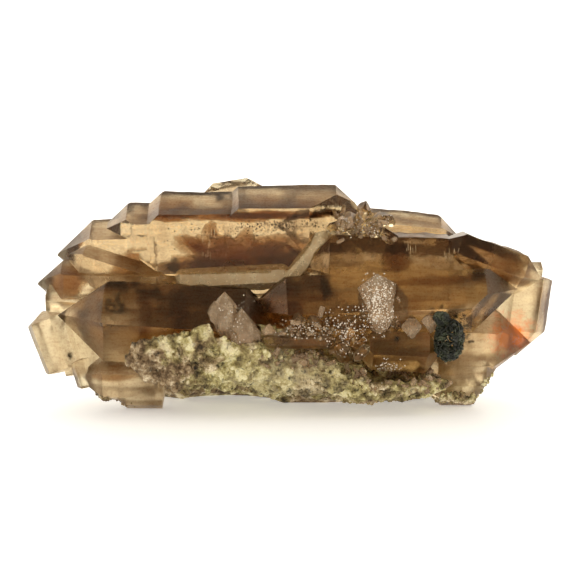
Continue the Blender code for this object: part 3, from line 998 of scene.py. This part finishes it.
def pale_druse(carriers, rock, material):
    """The small crystals on the rock at the middle and right of the front, and between the large ones."""
    over_rock = (
        (0.0060, 0.0145, 0.0130, 0.0030, 80),
        (0.0250, 0.0095, 0.0120, 0.0030, 100),
        (0.0020, 0.0175, 0.0080, 0.0030, 14),
    )
    between_crystals = ((0.0180, 0.0440, 0.0070, 0.0035, 45), (0.0050, 0.0212, 0.0080, 0.0025, 20))
    stand, sink = 0.9, 0.9
    places = patch_places(carriers, [rock], over_rock, 0.0011, stand, sink, 22)
    places += patch_places(carriers, carriers, between_crystals, 0.0009, stand, sink, 25)
    return sow("pale_druse", seed_crystal(), places, material)


def crust_grains(carriers, quartz, rock, skin):
    """The loose grain of the crust: over the rock, and in thin patches on the feet of the crystals."""
    over_rock = (
        (-0.0200, 0.0130, 0.0200, 0.0090, 520),
        (0.0080, 0.0060, 0.0280, 0.0050, 460),
        (0.0300, 0.0040, 0.0160, 0.0030, 160),
    )
    on_feet = (
        (-0.0475, 0.0022, 0.0035, 0.0016, 110),
        (-0.0440, 0.0010, 0.0060, 0.0010, 60),
        (0.0420, 0.0020, 0.0090, 0.0018, 200),
        (0.0490, 0.0060, 0.0030, 0.0030, 60),
    )
    stand = 0.6
    places = patch_places(carriers, [rock], over_rock, 0.0011, stand, 0.15, 23)
    places += patch_places(carriers, [quartz], on_feet, 0.0008, stand, 0.1, 24)
    return sow("crust_grains", seed_lump(2), places, skin)


def chlorite_tuft(green):
    """The tuft as a mass of flakes on end, which stand out of its solid at all angles."""
    flakes_per_face, flake_size = 2, 0.0013
    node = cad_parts["chlorite"]
    chance = random.Random(31)
    places = []
    faces = node.data.polygons
    for face in faces:
        for _ in range(flakes_per_face):
            lean = Vector((chance.uniform(-1, 1), chance.uniform(-1, 1), chance.uniform(-1, 1)))
            way = (face.normal * 0.3 + lean).normalized()
            across = flake_size * chance.uniform(0.6, 1.3)
            spin = way.to_track_quat("Z", "Y").to_matrix().to_4x4()
            places.append(Matrix.Translation(face.center) @ spin @ Matrix.Scale(across, 4))
    return sow("chlorite_flakes", seed_flake(), places, green)


def studio():
    """A pale floor, and bright soft light from behind and above."""
    bpy.ops.mesh.primitive_plane_add(size=4, location=(0, 0, 0))
    floor = bpy.context.object
    floor.name = "floor"
    material, _, _, surface = new_material("pale floor")
    surface.inputs["Base Color"].default_value = (0.88, 0.93, 1.0, 1)
    surface.inputs["Roughness"].default_value = 0.6
    surface.inputs["Emission Color"].default_value = (1.0, 0.97, 0.92, 1)
    surface.inputs["Emission Strength"].default_value = 0.35
    floor.data.materials.append(material)

    world = bpy.data.worlds.new("studio")
    bpy.context.scene.world = world
    world.use_nodes = True
    nodes, links = world.node_tree.nodes, world.node_tree.links
    way = add(nodes, "TexCoord")
    parts = add(nodes, "SeparateXYZ")
    links.new(way.outputs["Generated"], parts.inputs["Vector"])
    behind = add(nodes, "MapRange", From_Min=-0.35, From_Max=0.35, To_Min=0.0, To_Max=1.0)
    rising = add(nodes, "MapRange", From_Min=0.0, From_Max=0.45, To_Min=1.60, To_Max=2.80)
    overhead = add(nodes, "MapRange", From_Min=0.50, From_Max=0.80, To_Min=0.0, To_Max=-1.70)
    back = add(nodes, "Math", operation="ADD")
    front = add(nodes, "MapRange", From_Min=0.10, From_Max=0.80, To_Min=0.90, To_Max=0.50)
    both = add(nodes, "Mix", data_type="FLOAT")
    links.new(parts.outputs["Y"], behind.inputs["Value"])
    for target in (rising, overhead, front):
        links.new(parts.outputs["Z"], target.inputs["Value"])
    links.new(rising.outputs["Result"], back.inputs[0])
    links.new(overhead.outputs["Result"], back.inputs[1])
    links.new(behind.outputs["Result"], both.inputs[0])
    links.new(front.outputs["Result"], both.inputs[2])
    links.new(back.outputs["Value"], both.inputs[3])
    links.new(both.outputs[0], nodes["Background"].inputs["Strength"])
    warmth = add(nodes, "Mix", data_type="RGBA")
    warmth.inputs[6].default_value = (1.0, 0.86, 0.70, 1)
    warmth.inputs[7].default_value = (1.0, 0.94, 0.82, 1)
    links.new(behind.outputs["Result"], warmth.inputs[0])
    links.new(warmth.outputs[2], nodes["Background"].inputs["Color"])


def take_view():
    """The camera, about 0.42 m away and 6 degrees above the level, on the middle of the piece."""
    rise = math.radians(6)
    aim = Vector((-0.001, 0, 0.0283))
    away = 0.419
    bpy.ops.object.camera_add(location=aim + Vector((0, -math.cos(rise), math.sin(rise))) * away)
    camera = bpy.context.object
    camera.rotation_euler = (math.radians(90) - rise, 0, 0)
    camera.data.lens = 105
    camera.data.sensor_width = 36
    camera.data.clip_start = 0.01
    scene = bpy.context.scene
    scene.camera = camera
    scene.view_settings.view_transform = "Standard"
    scene.cycles.max_bounces = 24
    scene.cycles.transmission_bounces = 24


smoky, skin, green = clear_quartz(), rock_skin(), flaky_chlorite()
white = milky_quartz("white quartz", (0.92, 0.84, 0.70, 1), (1.0, 0.98, 0.92, 1), 0.0)
pale = milky_quartz("pale smoky quartz", (0.52, 0.36, 0.22, 1), (0.95, 0.76, 0.53, 1), 0.65)
frosted = milky_quartz("frosted quartz", (0.86, 0.64, 0.36, 1), (1.0, 0.86, 0.56, 1), 0.4)
quartz = joined("quartz_crystals", clear_crystals(), smoky)
blocks = joined("milky_crystals", milky_blocks(), pale)
strips = joined("frosted_crystals", frosted_strips(), frosted)
rock = rough_rock(skin)
carriers = [quartz, blocks, strips, rock]
dress(quartz, "smoky_quartz", "quartz_cluster")
dress(blocks, "smoky_quartz")
dress(strips, "smoky_quartz")
dress(rock, "matrix_rock", "matrix")
dress(white_druse(carriers, white), "smoky_quartz")
dress(pale_druse(carriers, rock, pale), "smoky_quartz")
dress(crust_grains(carriers, quartz, rock, skin), "matrix_rock")
dress(chlorite_tuft(green), "chlorite", "chlorite")
dress(dark_zones(quartz, deeper_smoke_and_painted_shade("deepest smoke and painted shade", 620.0)), "smoky_quartz")
dress(brown_zones(quartz, deeper_smoke_and_painted_shade("deeper smoke and painted shade", 440.0)), "smoky_quartz")
dress(dark_flecks(carriers, green), "chlorite")
# Thin growth lines, painted bright as glints of light.
dress(growth_lines_painted_glints(carriers, frosted), "smoky_quartz")

studio()
take_view()
